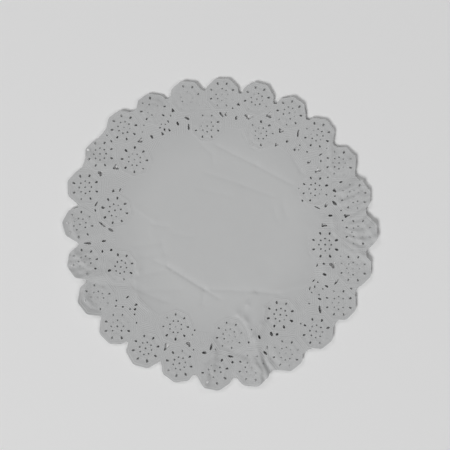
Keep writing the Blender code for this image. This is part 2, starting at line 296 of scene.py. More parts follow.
def rosette_holes(place, rosette):
    def place_point(across, outwards):
        return on_sheet(*polar(across, outwards, rosette.angle, rosette.radius))

    def hole(ring, direction, half_width, half_length, count, taper):
        grown = 1.0 + worn.uniform(-WEAR, WEAR)
        across = ring * math.sin(math.radians(direction))
        outwards = ring * math.cos(math.radians(direction))
        return loop_points(place_point, across, outwards, half_width * grown, half_length * grown,
                           direction, count, taper, 0.0)

    holes = []
    weak = WEAK_ROWS.get(place, WeakRow(place, "", "", "", ""))
    depth = CLEAN_SIZE if place in CLEAN_ROSETTES else WORN_SIZE if place in WORN_ROSETTES else 1.0
    if place not in MISSED_MIDDLES:
        dot = DOT_RADIUS * depth * (WEAK_SIZE if place in WEAK_MIDDLES else 1.0)
        holes.append(hole(0.0, 0.0, dot, dot, DOT_POINTS, 0.0))
    for step in range(RIM_SIDES):
        direction = rosette.turn + RIM_STEP * step
        if str(step) not in weak.missed_petals:
            facing_out = 0.5 + 0.5 * math.cos(math.radians(direction))
            size = depth * (INNER_PETAL + (OUTER_PETAL - INNER_PETAL) * facing_out ** 2)
            size *= WEAK_SIZE if str(step) in weak.weak_petals else 1.0
            holes.append(hole(PETAL_RING, direction, PETAL_HALF_WIDTH * size, PETAL_HALF_LENGTH * size,
                              PETAL_POINTS, PETAL_TAPER))
        if str(step) not in weak.missed_dots:
            dot = DOT_RADIUS * depth * (WEAK_SIZE if str(step) in weak.weak_dots else 1.0)
            holes.append(hole(DOT_RING, direction + RIM_STEP / 2.0, dot, dot, DOT_POINTS, 0.0))
    return holes


rosette_outlines = []
for place, rosette in enumerate(rosettes):
    rosette_outlines += rosette_holes(place, rosette)
print("rosette holes:", len(rosette_outlines))

# %% [markdown]
# ## The other cuts of the border
#
# Between the rosettes the tool cuts three-cornered stars, ovals and slits, and in four places where
# the inner ring has no rosette, a posy of small cuts. On a cheap doily the tool is worn: it goes
# through in one place and only marks the paper in the next, so no two repeats are alike and each cut
# has its own row. The larger ones are the same rows as in the solid model. The smaller ones are too
# fine for the solid, and are only cut here.

# %% List the cuts between the rosettes
Gap = namedtuple("Gap", "angle radius half_width half_length tilt")
STARS = (
    Gap(13.5, 0.1152, 0.0038, 0.0022, 175),
    Gap(22.6, 0.1235, 0.0024, 0.0030, 0),
    Gap(31.0, 0.1150, 0.0023, 0.0019, 180),
    Gap(33.1, 0.1010, 0.0015, 0.0017, 180),
    Gap(58.1, 0.1138, 0.0021, 0.0031, 175),
    Gap(70.4, 0.1197, 0.0021, 0.0015, 185),
    Gap(83.0, 0.1255, 0.0016, 0.0026, -10),
    Gap(87.0, 0.1028, 0.0015, 0.0026, 10),
    Gap(106.5, 0.1162, 0.0027, 0.0027, 178),
    Gap(192.8, 0.1145, 0.0025, 0.0022, 85),
    Gap(202.1, 0.1240, 0.0020, 0.0036, 5),
    Gap(262.0, 0.1275, 0.0015, 0.0033, 2),
    Gap(293.6, 0.1282, 0.0025, 0.0023, -5),
    Gap(299.3, 0.1177, 0.0025, 0.0026, 182),
    Gap(316.9, 0.1165, 0.0026, 0.0018, 175),
    Gap(343.0, 0.1143, 0.0028, 0.0018, 188),
)
OVAL_PLACES = ((7.6, 0.1117), (36.7, 0.1105), (52.2, 0.1107), (82.1, 0.1100), (112.2, 0.1120),
               (158.0, 0.1117), (262.2, 0.1123), (322.5, 0.1125), (337.3, 0.1120))
OVAL_HALF_WIDTH = 0.00115
OVAL_HALF_LENGTH = 0.0021
OVALS = [Gap(angle, radius, OVAL_HALF_WIDTH, OVAL_HALF_LENGTH, 0) for angle, radius in OVAL_PLACES]
SLITS = (
    Gap(-0.1, 0.1138, 0.0012, 0.0030, -40),
    Gap(2.5, 0.1145, 0.0014, 0.0028, 38),
    Gap(38.4, 0.1230, 0.0009, 0.0039, -33),
    Gap(76.3, 0.1080, 0.0013, 0.0029, -47),
    Gap(76.3, 0.1160, 0.0014, 0.0030, 58),
    Gap(113.1, 0.1253, 0.0009, 0.0034, 102),
    Gap(127.3, 0.1253, 0.0013, 0.0037, 45),
    Gap(152.0, 0.1138, 0.0014, 0.0022, 8),
    Gap(158.0, 0.1277, 0.0011, 0.0025, -27),
    Gap(173.1, 0.1235, 0.0010, 0.0029, 108),
    Gap(184.9, 0.1202, 0.0013, 0.0022, 82),
    Gap(181.9, 0.1141, 0.0011, 0.0035, 14),
    Gap(267.6, 0.1050, 0.0012, 0.0029, 32),
    Gap(270.4, 0.1135, 0.0009, 0.0042, 36),
    Gap(279.8, 0.1220, 0.0008, 0.0029, 109),
    Gap(342.2, 0.1053, 0.0011, 0.0031, 15),
)
SMALL_STARS = (
    Gap(7.6, 0.1255, 0.0015, 0.0015, 0),
    Gap(42.4, 0.1090, 0.0010, 0.0020, -10),
    Gap(107.3, 0.1078, 0.0009, 0.0013, 0),
    Gap(225.5, 0.1084, 0.0010, 0.0016, 10),
    Gap(328.0, 0.1092, 0.0012, 0.0017, 0),
    Gap(332.0, 0.1092, 0.0009, 0.0015, 0),
    Gap(337.4, 0.1260, 0.0014, 0.0018, 5),
)
SMALL_DROPS = (
    Gap(116.9, 0.1185, 0.0009, 0.0020, 0),
    Gap(123.6, 0.1190, 0.0009, 0.0018, -8),
    Gap(224.2, 0.1120, 0.0010, 0.0014, 0),
    Gap(329.9, 0.1116, 0.0008, 0.0018, 8),
    Gap(333.3, 0.1175, 0.0007, 0.0014, 0),
)
SMALL_OVALS = (
    Gap(0.5, 0.1466, 0.0005, 0.0006, 0),
    Gap(5.2, 0.1209, 0.0007, 0.0008, 0),
    Gap(42.8, 0.1152, 0.0007, 0.0007, 0),
    Gap(44.0, 0.1111, 0.0005, 0.0007, 0),
    Gap(47.6, 0.1157, 0.0007, 0.0009, 80),
    Gap(52.0, 0.1330, 0.0005, 0.0006, 0),
    Gap(52.6, 0.1245, 0.0006, 0.0021, 5),
    Gap(55.1, 0.1210, 0.0007, 0.0013, -45),
    Gap(62.0, 0.0883, 0.0005, 0.0006, 0),
    Gap(63.5, 0.1186, 0.0007, 0.0008, 0),
    Gap(67.8, 0.1284, 0.0008, 0.0016, 0),
    Gap(70.2, 0.0868, 0.0012, 0.0008, 0),
    Gap(73.1, 0.1182, 0.0007, 0.0009, 0),
    Gap(76.7, 0.0988, 0.0006, 0.0032, 38),
    Gap(80.3, 0.1210, 0.0007, 0.0008, 0),
    Gap(85.0, 0.1213, 0.0007, 0.0008, 0),
    Gap(101.5, 0.1217, 0.0005, 0.0005, 0),
    Gap(109.0, 0.1023, 0.0006, 0.0020, 92),
    Gap(113.1, 0.1407, 0.0007, 0.0013, 5),
    Gap(117.1, 0.1095, 0.0007, 0.0008, 0),
    Gap(117.4, 0.1053, 0.0006, 0.0019, 105),
    Gap(118.8, 0.1168, 0.0007, 0.0007, 0),
    Gap(119.9, 0.1090, 0.0006, 0.0013, 60),
    Gap(122.0, 0.1059, 0.0006, 0.0018, 72),
    Gap(122.1, 0.1165, 0.0007, 0.0007, 0),
    Gap(123.2, 0.1094, 0.0006, 0.0006, 0),
    Gap(128.4, 0.1137, 0.0006, 0.0008, 0),
    Gap(137.9, 0.1213, 0.0006, 0.0008, 0),
    Gap(149.7, 0.1166, 0.0015, 0.0012, 0),
    Gap(156.4, 0.1239, 0.0007, 0.0019, 20),
    Gap(160.5, 0.1027, 0.0006, 0.0007, 0),
    Gap(163.7, 0.1135, 0.0008, 0.0010, 0),
    Gap(172.5, 0.1290, 0.0011, 0.0012, -30),
    Gap(179.9, 0.1164, 0.0005, 0.0007, 0),
    Gap(190.0, 0.1190, 0.0006, 0.0008, 0),
    Gap(191.5, 0.1008, 0.0007, 0.0009, 0),
    Gap(192.2, 0.1056, 0.0005, 0.0009, 0),
    Gap(219.3, 0.1205, 0.0006, 0.0010, -30),
    Gap(222.6, 0.1158, 0.0008, 0.0008, 0),
    Gap(225.9, 0.1154, 0.0008, 0.0008, 0),
    Gap(228.9, 0.1193, 0.0007, 0.0011, 30),
    Gap(231.2, 0.1101, 0.0007, 0.0017, -5),
    Gap(231.2, 0.1240, 0.0007, 0.0009, 0),
    Gap(233.0, 0.1206, 0.0007, 0.0009, 0),
    Gap(257.0, 0.1064, 0.0012, 0.0012, 0),
    Gap(257.2, 0.1150, 0.0008, 0.0015, -70),
    Gap(276.8, 0.1218, 0.0007, 0.0013, 70),
    Gap(288.2, 0.1097, 0.0017, 0.0012, 8),
    Gap(289.9, 0.1039, 0.0006, 0.0019, 94),
    Gap(307.7, 0.1367, 0.0007, 0.0014, 15),
    Gap(308.4, 0.1438, 0.0008, 0.0009, 0),
    Gap(320.3, 0.1220, 0.0005, 0.0006, 0),
    Gap(322.7, 0.1264, 0.0006, 0.0007, 0),
    Gap(328.4, 0.1157, 0.0008, 0.0008, 0),
    Gap(329.8, 0.1182, 0.0005, 0.0006, 0),
    Gap(331.5, 0.1163, 0.0006, 0.0006, 0),
    Gap(335.5, 0.1219, 0.0007, 0.0009, 0),
)

# %% Draw the cuts between the rosettes
STAR_DRAWN_IN = 0.30
STAR_POINTS = 18
OVAL_POINTS = 14
DROP_TAPER = 0.45
SMALL_CUT_POINTS = 12


def gap_outline(gap, count, taper=0.0, drawn_in=0.0):
    def place_point(across, outwards):
        return flat_place(*polar(across, outwards, gap.angle, gap.radius))

    return loop_points(place_point, 0.0, 0.0, gap.half_width, gap.half_length, gap.tilt, count, taper,
                       drawn_in)


gap_outlines = [gap_outline(gap, STAR_POINTS, drawn_in=STAR_DRAWN_IN) for gap in STARS]
gap_outlines += [gap_outline(gap, OVAL_POINTS) for gap in OVALS + list(SLITS)]
gap_outlines += [gap_outline(gap, SMALL_CUT_POINTS, drawn_in=STAR_DRAWN_IN) for gap in SMALL_STARS]
gap_outlines += [gap_outline(gap, SMALL_CUT_POINTS, taper=DROP_TAPER) for gap in SMALL_DROPS]
gap_outlines += [gap_outline(gap, SMALL_CUT_POINTS) for gap in SMALL_OVALS]
print("cuts between the rosettes:", len(gap_outlines))

# %% [markdown]
# ## The die
#
# A die for paper lace is a steel plate with the same holes as the doily. In Blender a flat curve
# with both sides filled does the same: every closed spline inside another one becomes a hole, and
# the extrude setting gives the plate its thickness. Turned into a mesh, it is ready to cut with.

# %% Make the die
DIE_HALF_HEIGHT = 0.002
WELD = 0.0000001


def make_die(outlines):
    curve = bpy.data.curves.new("lace_die", "CURVE")
    curve.dimensions = "2D"
    curve.fill_mode = "BOTH"
    curve.extrude = DIE_HALF_HEIGHT
    for outline in outlines:
        spline = curve.splines.new("POLY")
        spline.points.add(len(outline) - 1)
        for point, (x, y) in zip(spline.points, outline):
            point.co = (x, y, 0.0, 1.0)
        spline.use_cyclic_u = True
    drawn = bpy.data.objects.new("lace_die_curve", curve)
    bpy.context.scene.collection.objects.link(drawn)
    mesh = bpy.data.meshes.new_from_object(drawn.evaluated_get(bpy.context.evaluated_depsgraph_get()))
    bpy.data.objects.remove(drawn, do_unlink=True)
    shape = bmesh.new()
    shape.from_mesh(mesh)
    bmesh.ops.remove_doubles(shape, verts=shape.verts, dist=WELD)
    shape.to_mesh(mesh)
    shape.free()
    die = bpy.data.objects.new("lace_die", mesh)
    bpy.context.scene.collection.objects.link(die)
    return die


die = make_die([edge_outline] + rosette_outlines + gap_outlines)
print("die:", len(die.data.polygons), "faces")

# %% [markdown]
# ## The blank sheet
#
# The paper is cut from a flat blank. It starts as a plain grid, trimmed to a disc. The lace border
# has folds and embossing to carry and the middle has almost none, so only the border is divided
# once more. The middle gets the finer mesh just along its creases. The blank is given a thickness
# for now, because a Boolean cuts a closed block more surely than an open sheet.

# %% Make the blank
COARSE_STEP = 0.0024
BLANK_RADIUS = 0.160
FINE_FROM = 0.083
BLANK_THICKNESS = 0.001
CREASE_REACH = 0.0030

# Soft creases and ridges of the paper, some in its plain middle and some across the lace. Each runs
# straight between two places on the sheet, and a bent one has a row for each straight stretch.
Crease = namedtuple("Crease", "x_a y_a x_b y_b width height")
CREASES = (
    Crease(-0.004, 0.082, 0.036, 0.063, 0.0012, -0.00030),
    Crease(0.036, 0.063, 0.071, 0.045, 0.0012, -0.00030),
    Crease(-0.015, 0.055, 0.023, 0.043, 0.0012, -0.00019),
    Crease(0.023, 0.043, 0.052, 0.033, 0.0012, -0.00019),
    Crease(-0.022, 0.039, 0.013, 0.031, 0.0013, -0.00012),
    Crease(-0.019, 0.082, -0.009, 0.074, 0.0012, -0.00020),
    Crease(-0.009, 0.074, -0.007, 0.064, 0.0012, -0.00020),
    Crease(0.022, 0.094, 0.031, 0.081, 0.0013, -0.00020),
    Crease(0.071, 0.073, 0.080, 0.058, 0.0016, -0.00032),
    Crease(0.080, 0.058, 0.076, 0.041, 0.0016, -0.00032),
    Crease(0.043, 0.024, -0.012, -0.043, 0.0018, 0.00015),
    Crease(-0.061, -0.034, -0.048, -0.039, 0.0013, -0.00026),
    Crease(-0.048, -0.039, -0.012, -0.060, 0.0012, -0.00060),
    Crease(-0.012, -0.060, 0.002, -0.068, 0.0012, -0.00036),
    Crease(-0.004, -0.060, 0.039, -0.061, 0.0012, -0.00038),
    Crease(0.039, -0.061, 0.059, -0.062, 0.0012, -0.00038),
    Crease(0.055, -0.061, 0.091, -0.051, 0.0016, 0.00025),
    Crease(-0.012, -0.060, -0.014, -0.073, 0.0014, -0.00045),
    Crease(-0.065, 0.002, -0.050, 0.000, 0.0013, -0.00020),
    Crease(-0.043, -0.007, -0.026, -0.009, 0.0013, -0.00015),
    Crease(-0.080, -0.020, -0.055, -0.016, 0.0016, -0.00020),
    Crease(-0.055, -0.016, -0.052, -0.026, 0.0016, -0.00020),
    Crease(-0.052, -0.026, -0.071, -0.030, 0.0016, -0.00020),
    Crease(-0.082, 0.018, -0.063, 0.006, 0.0015, 0.00020),
    Crease(-0.063, 0.006, -0.066, -0.006, 0.0015, 0.00020),
    Crease(0.053, 0.021, 0.057, 0.010, 0.0014, -0.00020),
    Crease(0.063, 0.024, 0.065, 0.014, 0.0018, -0.00026),
    Crease(0.087, -0.006, 0.089, -0.022, 0.0016, -0.00036),
    Crease(0.042, -0.042, 0.050, -0.032, 0.0013, -0.00018),
    Crease(0.035, -0.062, 0.030, -0.073, 0.0016, 0.00080),
    Crease(0.030, -0.073, 0.021, -0.083, 0.0016, 0.00080),
    Crease(0.021, -0.083, 0.028, -0.089, 0.0016, 0.00080),
    Crease(0.028, -0.089, 0.036, -0.104, 0.0016, 0.00080),
    Crease(0.036, -0.104, 0.039, -0.114, 0.0016, 0.00080),
    Crease(0.047, -0.076, 0.043, -0.091, 0.0016, 0.00070),
    Crease(0.043, -0.091, 0.036, -0.105, 0.0016, 0.00070),
    Crease(0.040, -0.129, 0.052, -0.144, 0.0018, 0.00110),
    Crease(0.051, -0.127, 0.064, -0.139, 0.0016, 0.00100),
    Crease(-0.001, -0.119, -0.002, -0.136, 0.0016, 0.00110),
    Crease(-0.006, -0.131, -0.010, -0.149, 0.0015, 0.00090),
    Crease(0.015, -0.118, 0.032, -0.123, 0.0018, -0.00060),
    Crease(0.084, -0.077, 0.096, -0.063, 0.0020, 0.00060),
    Crease(0.078, -0.069, 0.081, -0.076, 0.0015, -0.00032),
    Crease(0.107, 0.091, 0.109, 0.063, 0.0015, 0.00090),
    Crease(0.130, 0.066, 0.120, 0.044, 0.0016, 0.00090),
    Crease(0.124, 0.064, 0.113, 0.050, 0.0016, -0.00060),
    Crease(0.119, 0.038, 0.141, 0.047, 0.0015, 0.00130),
    Crease(0.119, 0.027, 0.137, 0.036, 0.0015, 0.00130),
    Crease(0.122, 0.032, 0.139, 0.041, 0.0015, -0.00090),
    Crease(0.134, -0.001, 0.138, -0.009, 0.0016, 0.00070),
    Crease(0.138, -0.009, 0.148, -0.013, 0.0016, 0.00070),
    Crease(0.142, 0.008, 0.151, -0.006, 0.0016, 0.00070),
    Crease(0.111, 0.013, 0.113, -0.001, 0.0018, 0.00070),
    Crease(0.136, -0.021, 0.148, -0.030, 0.0016, 0.00070),
    Crease(-0.079, -0.033, -0.077, -0.044, 0.0016, 0.00045),
    Crease(-0.077, -0.044, -0.079, -0.052, 0.0016, 0.00045),
    Crease(-0.078, -0.061, -0.075, -0.073, 0.0016, 0.00035),
    Crease(-0.075, -0.073, -0.066, -0.080, 0.0016, 0.00035),
    Crease(-0.121, -0.056, -0.084, -0.059, 0.0018, -0.00035),
    Crease(-0.080, -0.049, -0.051, -0.043, 0.0018, -0.00028),
    Crease(-0.078, -0.061, -0.051, -0.072, 0.0018, -0.00030),
    Crease(-0.143, 0.003, -0.139, -0.011, 0.0018, 0.00065),
    Crease(-0.140, -0.027, -0.126, -0.040, 0.0018, 0.00080),
    Crease(-0.127, -0.061, -0.126, -0.071, 0.0018, 0.00080),
    Crease(-0.126, -0.071, -0.120, -0.077, 0.0018, 0.00080),
    Crease(-0.075, -0.062, -0.036, -0.061, 0.0018, -0.00020),
)
GENTLE_WAY = 35.0


Line = namedtuple("Line", "start_x start_y way_x way_y length width height")


def line_between(start_x, start_y, end_x, end_y, width, height):
    length = math.hypot(end_x - start_x, end_y - start_y)
    way_x, way_y = (end_x - start_x) / length, (end_y - start_y) / length
    return Line(start_x, start_y, way_x, way_y, length, width, height)


def crease_line(crease):
    """The crease as a line, run so that its gentle side is the one towards GENTLE_WAY."""
    x_a, y_a, x_b, y_b, width, height = crease
    turned = math.radians(GENTLE_WAY)
    if (y_b - y_a) * math.sin(turned) > (x_b - x_a) * math.cos(turned):
        return line_between(x_a, y_a, x_b, y_b, width, height)
    return line_between(x_b, y_b, x_a, y_a, width, height)


def off_line(line, x, y):
    """How far a place is from a line, its share of the way along it, and the side it is on."""
    along = (x - line.start_x) * line.way_x + (y - line.start_y) * line.way_y
    aside = (x - line.start_x) * line.way_y - (y - line.start_y) * line.way_x
    nearest = min(max(along, 0.0), line.length)
    return math.hypot(along - nearest, aside), nearest / line.length, aside


crease_lines = [crease_line(crease) for crease in CREASES]


def near_crease(vert):
    return any(off_line(line, vert.co.x, vert.co.y)[0] < CREASE_REACH for line in crease_lines)


def make_blank():
    shape = bmesh.new()
    steps = round(2.0 * BLANK_RADIUS / COARSE_STEP)
    bmesh.ops.create_grid(shape, x_segments=steps, y_segments=steps, size=BLANK_RADIUS)
    outside = [face for face in shape.faces if face.calc_center_median().length > BLANK_RADIUS]
    bmesh.ops.delete(shape, geom=outside, context="FACES")
    worked = {vert for vert in shape.verts if vert.co.length > FINE_FROM or near_crease(vert)}
    fine = [edge for edge in shape.edges if worked.issuperset(edge.verts)]
    bmesh.ops.subdivide_edges(shape, edges=fine, cuts=1, use_grid_fill=True)
    rim = [edge for edge in shape.edges if edge.is_boundary]
    lower = bmesh.ops.extrude_edge_only(shape, edges=rim)["geom"]
    lower_verts = [part for part in lower if isinstance(part, bmesh.types.BMVert)]
    bmesh.ops.translate(shape, verts=lower_verts, vec=(0.0, 0.0, -BLANK_THICKNESS))
    rim = [edge for edge in shape.edges if edge.is_boundary]
    bmesh.ops.edgeloop_fill(shape, edges=rim)
    bmesh.ops.recalc_face_normals(shape, faces=shape.faces)
    mesh = bpy.data.meshes.new("paper_doily")
    shape.to_mesh(mesh)
    shape.free()
    blank = bpy.data.objects.new("paper_doily", mesh)
    bpy.context.scene.collection.objects.link(blank)
    return blank


doily = make_blank()
print("blank:", len(doily.data.polygons), "faces")

# %% [markdown]
# ## The blow of the press
#
# One Boolean, set to keep what the two shapes share, does what the press does in one blow: it
# trims the edge and punches all the holes. Of the result only the upper skin is kept, since the
# paper gets its own, much smaller thickness at the end. Specks that are left where a grid line just
# touches a hole are merged away, and the faces are split into triangles while they are still flat.

# %% Cut the blank with the die
SPECK = 0.00003
FACES_UP = 0.5


def cut_with(blank, die):
    cut = blank.modifiers.new("die_cut", "BOOLEAN")
    cut.operation = "INTERSECT"
    cut.object = die
    mesh = bpy.data.meshes.new_from_object(blank.evaluated_get(bpy.context.evaluated_depsgraph_get()))
    blank.modifiers.clear()
    blank.data = mesh
    bpy.data.objects.remove(die, do_unlink=True)


cut_with(doily, die)
sheet = bmesh.new()
sheet.from_mesh(doily.data)
other_skins = [face for face in sheet.faces if face.normal.z < FACES_UP]
bmesh.ops.delete(sheet, geom=other_skins, context="FACES")
bmesh.ops.remove_doubles(sheet, verts=sheet.verts, dist=SPECK)
bmesh.ops.dissolve_degenerate(sheet, edges=sheet.edges, dist=SPECK)
bmesh.ops.triangulate(sheet, faces=sheet.faces)
cut_area = sum(face.calc_area() for face in sheet.faces)
flat_width = max(vert.co.x for vert in sheet.verts) - min(vert.co.x for vert in sheet.verts)
flat_length = max(vert.co.y for vert in sheet.verts) - min(vert.co.y for vert in sheet.verts)
print("cut sheet:", len(sheet.faces), "triangles,", round(1e4 * cut_area, 1), "square cm")

# %% [markdown]
# ## Where every point is in the pattern
#
# The embossing has to run round the holes, so it must know where each point of the sheet is in the
# regular pattern. That is the way back through the function that placed the holes. It has no
# formula, but a few rounds of guess and correct find it. Then each point looks for its nearest
# rosette, measured as the eight-sided rosette itself does: by the distance to its flat sides.

# %% Find the pattern under the sheet
GUESSES = 4
NEIGHBOURS = 3
centres = [Vector((*flat_place(rosette.angle, rosette.radius), 0.0)) for rosette in rosettes]
rosette_tree = kdtree.KDTree(len(centres))
for place, centre in enumerate(centres):
    rosette_tree.insert(centre, place)
rosette_tree.balance()


def in_pattern(x, y):
    guess_x, guess_y = x, y
    for _ in range(GUESSES):
        angle = math.degrees(math.atan2(guess_x, guess_y))
        found_x, found_y = on_sheet(angle, math.hypot(guess_x, guess_y))
        guess_x += x - found_x
        guess_y += y - found_y
    return Vector((guess_x, guess_y, 0.0))


def in_rosette(point, place):
    """A point as seen from a rosette's centre, turned so that its flat sides face along the axes."""
    rosette = rosettes[place]
    offset = point - centres[place]
    turned = math.radians(rosette.angle + rosette.turn + RIM_STEP / 2.0)
    across = offset.x * math.cos(turned) - offset.y * math.sin(turned)
    outwards = offset.x * math.sin(turned) + offset.y * math.cos(turned)
    return across, outwards


def side_distance(across, outwards):
    return max(abs(across), abs(outwards), (abs(across) + abs(outwards)) * math.sqrt(0.5))


def nearest_rosette(point):
    near = [place for _, place, _ in rosette_tree.find_n(point, NEIGHBOURS)]
    return min(near, key=lambda place: side_distance(*in_rosette(point, place)))


pattern_points = [in_pattern(vert.co.x, vert.co.y) for vert in sheet.verts]
print("points placed in the pattern:", len(pattern_points))

# %% [markdown]
# ## A map for the fine embossing
#
# The finest lines and pearls are too small for the mesh, and belong in the material. A material needs
# to know where it is in a rosette too, so each face gets a UV map in which its own rosette sits
# in the middle of the square. All the rosettes share one square, and one drawing serves them all.

# %% Map each face to its rosette
ROSETTE_SPAN = 0.064
rosette_map = sheet.loops.layers.uv.new("rosette_map")
sheet.verts.index_update()
for face in sheet.faces:
    corners = [pattern_points[loop.vert.index] for loop in face.loops]
    place = nearest_rosette(sum(corners, Vector()) / len(corners))
    for loop, corner in zip(face.loops, corners):
        across, outwards = in_rosette(corner, place)
        loop[rosette_map].uv = (0.5 + across / ROSETTE_SPAN, 0.5 + outwards / ROSETTE_SPAN)
print("mapped", len(sheet.faces), "faces")

# %% [markdown]
# ## The lie of the sheet
#
# The middle lies flat. The border was stretched by the embossing, so it curls up off the table and
# falls into broad folds, and a few scallops are bent up or down along a line. These are the
# large shapes, and they are the same as in the solid model.

# %% Lay the border in its folds
CLIMB_POWER = 1.35
FOLD_FADE = 2.5
FOLD_START = 0.35
Fold = namedtuple("Fold", "angle_a radius_a angle_b radius_b width height")
FOLDS = (
    Fold(64, 0.104, 62, 0.150, 0.0060, 0.0016),
    Fold(76, 0.112, 69, 0.152, 0.0055, 0.0022),
    Fold(83, 0.106, 110, 0.110, 0.0065, 0.0014),
    Fold(97, 0.122, 100, 0.158, 0.0050, 0.0016),
    Fold(149, 0.080, 164, 0.152, 0.0060, 0.0022),
    Fold(160, 0.118, 156, 0.152, 0.0050, -0.0014),
    Fold(181, 0.112, 184, 0.158, 0.0055, 0.0024),
    Fold(172, 0.126, 174, 0.156, 0.0050, -0.0012),
    Fold(243, 0.100, 250, 0.154, 0.0060, 0.0016),
    Fold(262, 0.112, 260, 0.152, 0.0060, -0.0014),
    Fold(300, 0.112, 297, 0.150, 0.0060, 0.0012),
)
Bend = namedtuple("Bend", "rosette offset facing degrees")
BENDS = (
    Bend(22, -0.0010, 28, -9.0),
    Bend(16, 0.0050, -18, 14.0),
    Bend(6, 0.0060, 6, 8.0),
    Bend(10, 0.0040, -10, -8.0),
    Bend(18, 0.0070, 0, 8.0),
)
BEND_SOFTNESS = 0.0030
BEND_HALF_WIDTH = 0.0115
fold_lines = [line_between(*flat_place(fold.angle_a, fold.radius_a),
                           *flat_place(fold.angle_b, fold.radius_b), fold.width, fold.height)
              for fold in FOLDS]


def climb_at(x, y):
    return max(math.hypot(x, y) - FLAT_MIDDLE, 0.0) / (OUTER_RING - FLAT_MIDDLE)


def sheet_height(x, y):
    climb = climb_at(x, y)
    height = around_edge("rise", math.degrees(math.atan2(x, y))) * climb ** CLIMB_POWER
    folded = 0.0
    for line in fold_lines:
        distance, share, _ = off_line(line, x, y)
        ramp = FOLD_START + (1.0 - FOLD_START) * smooth_step(share)
        folded += line.height * ramp * math.exp(-(distance / line.width) ** 2)
    return max(height + folded * smooth_step(FOLD_FADE * climb), 0.0)


def bend_rosette(bend, x, y, z):
    facing = math.radians(PITCH * bend.rosette + bend.facing)
    centre_x, centre_y = flat_place(PITCH * bend.rosette, OUTER_RING)
    beyond = (x - centre_x) * math.sin(facing) + (y - centre_y) * math.cos(facing) - bend.offset
    aside = (x - centre_x) * math.cos(facing) - (y - centre_y) * math.sin(facing)
    if beyond <= 0.0:
        return x, y, z
    eased = math.sqrt(beyond ** 2 + BEND_SOFTNESS ** 2) - BEND_SOFTNESS
    eased *= 1.0 - smooth_step(abs(aside) / BEND_HALF_WIDTH - 1.0)
    turned = math.radians(bend.degrees)
    drawn_back = eased * (1.0 - math.cos(turned))
    return (x - drawn_back * math.sin(facing), y - drawn_back * math.cos(facing),
            z + eased * math.sin(turned))


# %% [markdown]
# ## Press and creases
#
# Over the large shapes lie the small ones. The press raises eight-sided ridges round each rosette,
# between its rings of holes, and the punches leave a fine lip along every cut. Handling adds soft
# creases, each steep on one side and running out gently on the other, as paper creases do when it is
# pressed flat again. Where the edge was squeezed there are uneven pleats and crumples, and thin paper
# always has faint waves.

# %% Shape the sheet
GENTLE_SIDE = 2.5
PRESS_WAVE = 0.0060
PRESS_DEPTH = 0.00010
PRESS_REACH = 0.0165
PRESS_FADE = 0.0015
LIP = 0.00007
WAVE_SPAN = 0.030
WAVE_HEIGHT = 0.00045
Pleats = namedtuple("Pleats", "angle spread count height")
PLEATS = (
    Pleats(88.0, 24.0, 15, 0.00048),
    Pleats(251.0, 13.0, 9, 0.00042),
    Pleats(160.0, 13.0, 7, 0.00048),
)
PLEATS_FROM = 0.118
PLEAT_DRIFT = 4.0
CRUMPLE_SPAN = 0.0068
CRUMPLE_HEIGHT = 0.00044
CRUMPLE_LEAST = 0.35


def press_height(point):
    across, outwards = in_rosette(point, nearest_rosette(point))
    distance = side_distance(across, outwards)
    fade = 1.0 - smooth_step((distance - PRESS_REACH) / PRESS_FADE)
    return -PRESS_DEPTH * math.cos(2.0 * math.pi * distance / PRESS_WAVE) * fade


def crease_height(x, y):
    height = 0.0
    for line in crease_lines:
        distance, _, aside = off_line(line, x, y)
        width = line.width * (1.0 + (GENTLE_SIDE - 1.0) * smooth_step(0.5 + aside / line.width))
        height += line.height * math.exp(-(distance / width) ** 2)
    return height


def pleat_height(x, y):
    """Pleats where the edge was squeezed, and the crumpling that is strongest in the same places."""
    angle = math.degrees(math.atan2(x, y)) % 360.0
    drifted = angle + PLEAT_DRIFT * noise.noise(Vector((x, y, 0.0)) / WAVE_SPAN)
    wavy, squeezed = 0.0, 0.0
    for pleats in PLEATS:
        off = abs(angle - pleats.angle) / pleats.spread
        if off < 1.0:
            wave = math.sin(math.pi * pleats.count * (drifted - pleats.angle) / pleats.spread)
            wavy += pleats.height * wave * (1.0 - smooth_step(off))
            squeezed += 1.0 - smooth_step(off)
    border = smooth_step((math.hypot(x, y) - PLEATS_FROM) / (OUTER_RING - PLEATS_FROM))
    crumple = CRUMPLE_HEIGHT * noise.noise(Vector((x, y, 0.0)) / CRUMPLE_SPAN)
    crumple *= CRUMPLE_LEAST + (1.0 - CRUMPLE_LEAST) * squeezed
    return border * wavy + smooth_step(climb_at(x, y)) * crumple


def shaped(vert, point):
    x, y, _ = vert.co
    z = sheet_height(x, y) + crease_height(x, y) + pleat_height(x, y)
    z += WAVE_HEIGHT * (0.5 + 0.5 * noise.noise(Vector((x, y, 0.0)) / WAVE_SPAN))
    if point.length > FLAT_MIDDLE:
        z += press_height(point)
    if vert.is_boundary:
        z += LIP
    for bend in BENDS:
        x, y, z = bend_rosette(bend, x, y, z)
    return x, y, z


for vert, point in zip(sheet.verts, pattern_points):
    vert.co = shaped(vert, point)
lowest = min(vert.co.z for vert in sheet.verts)
bmesh.ops.translate(sheet, verts=sheet.verts, vec=(0.0, 0.0, -lowest))
print("risen:", round(1000 * max(vert.co.z for vert in sheet.verts), 1), "mm")

# %% [markdown]
# ## The paper's thickness
#
# Doily paper is thin, a tenth to a quarter of a millimetre once it is embossed. A Solidify modifier
# gives the skin that thickness and closes it along every cut. The cut edges are marked sharp, or the
# smooth shading would run over them and make each hole look soft and round.

# %% Finish the sheet
PAPER_THICKNESS = 0.00022

